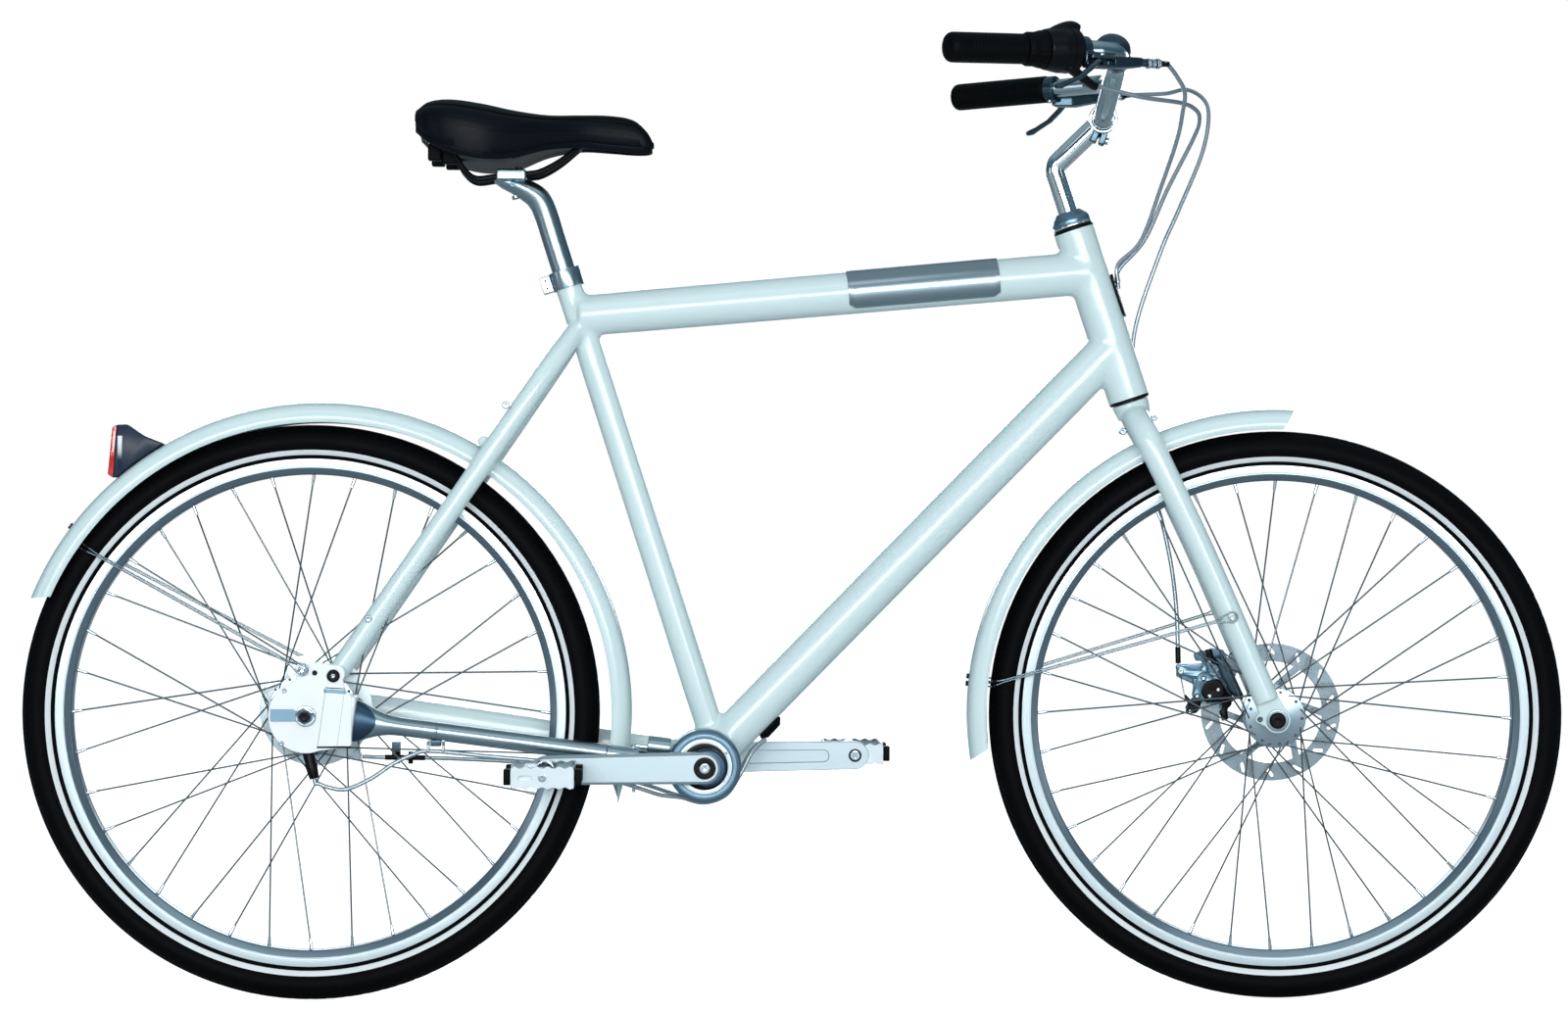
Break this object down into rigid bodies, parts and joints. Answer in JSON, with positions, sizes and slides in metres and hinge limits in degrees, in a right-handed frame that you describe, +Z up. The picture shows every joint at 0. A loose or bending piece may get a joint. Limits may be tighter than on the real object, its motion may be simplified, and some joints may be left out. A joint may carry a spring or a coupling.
{
  "type": "city bike",
  "caption": "Shaft-driven city bicycle with slanted diamond frame, wide bent-back handlebar, full mudguards, front disc brake and padded saddle.",
  "frame": {"origin": "on the ground, midway between the two wheel axles, in the frame's middle plane", "axes": "+X towards the front wheel, +Y to the rider's left, +Z up"},
  "size_m": [1.7507, 0.6009, 1.0913],
  "materials": {
    "paint": "gloss pale paint",
    "white_cover": "satin white paint",
    "satin_alloy": "satin blue grey",
    "dark_alloy": "dark satin",
    "chrome": "polished",
    "steel": "bright steel",
    "black_plastic": "satin black",
    "cushion": "black synthetic leather",
    "black_rubber": "matt black",
    "tyre": "matt black",
    "red_lens": "clear red",
    "braided": "silver braid"
  },
  "bodies": {
    "frame": {"main_frame": "paint", "cable_port": "black_plastic", "down_tube_grommet": "black_rubber", "top_tube_plate": "satin_alloy", "upper_headset": "black_plastic", "lower_headset": "black_plastic", "seat_clamp": "satin_alloy", "rear_mudguard": "paint", "rear_mudguard_stay": "steel", "tail_light_body": "black_plastic", "tail_light_lens": "red_lens", "bracket_housing": "satin_alloy", "bracket_cover": "black_plastic", "shaft_tube": "satin_alloy", "gear_case": "white_cover", "rear_axle": "steel", "rear_brake_unit": "satin_alloy", "rear_brake_cable": "braided", "rear_shift_cable": "braided"},
    "seat": {"seat_post": "satin_alloy", "saddle_clamp": "satin_alloy", "saddle_rails": "black_plastic", "saddle_base": "black_plastic", "saddle_cover": "cushion"},
    "steering": {"fork": "paint", "stem": "chrome", "handlebar": "chrome", "right_grip": "black_rubber", "left_grip": "black_rubber", "right_lever_bracket": "dark_alloy", "left_lever_bracket": "dark_alloy", "bell": "dark_alloy", "shifter_housing": "black_plastic", "front_mudguard": "paint", "front_mudguard_stay": "steel", "front_axle": "black_plastic", "front_caliper": "dark_alloy", "headset_cap": "satin_alloy", "front_brake_cable": "braided", "bar_brake_cable": "braided", "bar_shift_cable": "braided"},
    "twist_shifter": {"twist_ring": "black_rubber"},
    "brake_lever_right": {"right_brake_lever": "dark_alloy"},
    "brake_lever_left": {"left_brake_lever": "dark_alloy"},
    "brake_arm": {"caliper_arm": "black_plastic"},
    "front_wheel": {"front_tyre": "tyre", "front_rim": "satin_alloy", "front_hub": "steel", "brake_rotor": "steel"},
    "rear_wheel": {"rear_tyre": "tyre", "rear_rim": "satin_alloy", "rear_hub": "steel", "rear_brake_disc": "steel"},
    "crankset": {"crank_axle": "steel", "right_crank": "satin_alloy", "left_crank": "satin_alloy"},
    "transmission_shaft": {"drive_shaft": "steel"},
    "hub_drive": {"rear_drive_gear": "steel"},
    "pedal_right": {"right_pedal": "steel"},
    "pedal_left": {"left_pedal": "steel"}
  },
  "joints": [
    {"name": "seat_height", "type": "slide", "parent": "frame", "child": "seat", "axis": [-0.309, 0, 0.9511], "range_m": [-0.06, 0.09]},
    {"name": "steering", "type": "hinge", "parent": "frame", "child": "steering", "pos_m": [0.38152, 0, 0.68979], "axis": [-0.3173, 0, 0.9483], "range_deg": [-53, 67], "deforming": ["bar_brake_cable", "bar_shift_cable"]},
    {"name": "twist_shifter", "type": "hinge", "parent": "steering", "child": "twist_shifter", "pos_m": [0.23873, -0.23388, 1.0558], "axis": [0.9159, 0.3986, 0.0468], "range_deg": [-50, 50]},
    {"name": "right_brake_lever", "type": "hinge", "parent": "steering", "child": "brake_lever_right", "pos_m": [0.31574, -0.22764, 1.04387], "axis": [0.0021, 0.0374, -0.9993], "range_deg": [0, 16], "stiffness_Nm_per_rad": 1.2, "springref_deg": -8.59},
    {"name": "left_brake_lever", "type": "hinge", "parent": "steering", "child": "brake_lever_left", "pos_m": [0.34108, 0.22723, 1.06004], "axis": [-0.0021, -0.0374, 0.9993], "range_deg": [0, 16], "stiffness_Nm_per_rad": 1.2, "springref_deg": -8.59},
    {"name": "caliper_arm", "type": "hinge", "parent": "steering", "child": "brake_arm", "pos_m": [0.4894, 0.05538, 0.35418], "axis": [0.1116, 0.993, 0.0373], "range_deg": [0, 12]},
    {"name": "front_wheel_spin", "type": "hinge", "parent": "steering", "child": "front_wheel", "pos_m": [0.54971, -0.00524, 0.3264], "axis": [0.1116, 0.993, 0.0373], "continuous": true},
    {"name": "rear_wheel_spin", "type": "hinge", "parent": "frame", "child": "rear_wheel", "pos_m": [-0.55, 0, 0.3265], "axis": [0, 1, 0], "continuous": true},
    {"name": "crank_spin", "type": "hinge", "parent": "frame", "child": "crankset", "pos_m": [-0.105, 0, 0.27], "axis": [0, 1, 0], "continuous": true},
    {"name": "shaft_spin", "type": "hinge", "parent": "frame", "child": "transmission_shaft", "pos_m": [-0.105, -0.047, 0.27], "axis": [0.992, 0, -0.126], "continuous": true},
    {"name": "hub_gear_spin", "type": "hinge", "parent": "frame", "child": "hub_drive", "pos_m": [-0.55, 0, 0.3265], "axis": [0, 1, 0], "continuous": true},
    {"name": "right_pedal_spin", "type": "hinge", "parent": "crankset", "child": "pedal_right", "pos_m": [-0.28297, -0.068, 0.26689], "axis": [0, 1, 0], "continuous": true},
    {"name": "left_pedal_spin", "type": "hinge", "parent": "crankset", "child": "pedal_left", "pos_m": [0.07297, 0.068, 0.27311], "axis": [0, 1, 0], "continuous": true}
  ],
  "couplings": [
    {"joint": "shaft_spin", "follows": "crank_spin", "ratio": 2.8},
    {"joint": "hub_gear_spin", "follows": "crank_spin", "ratio": 1.4},
    {"joint": "caliper_arm", "follows": "left_brake_lever", "ratio": 0.75}
  ]
}
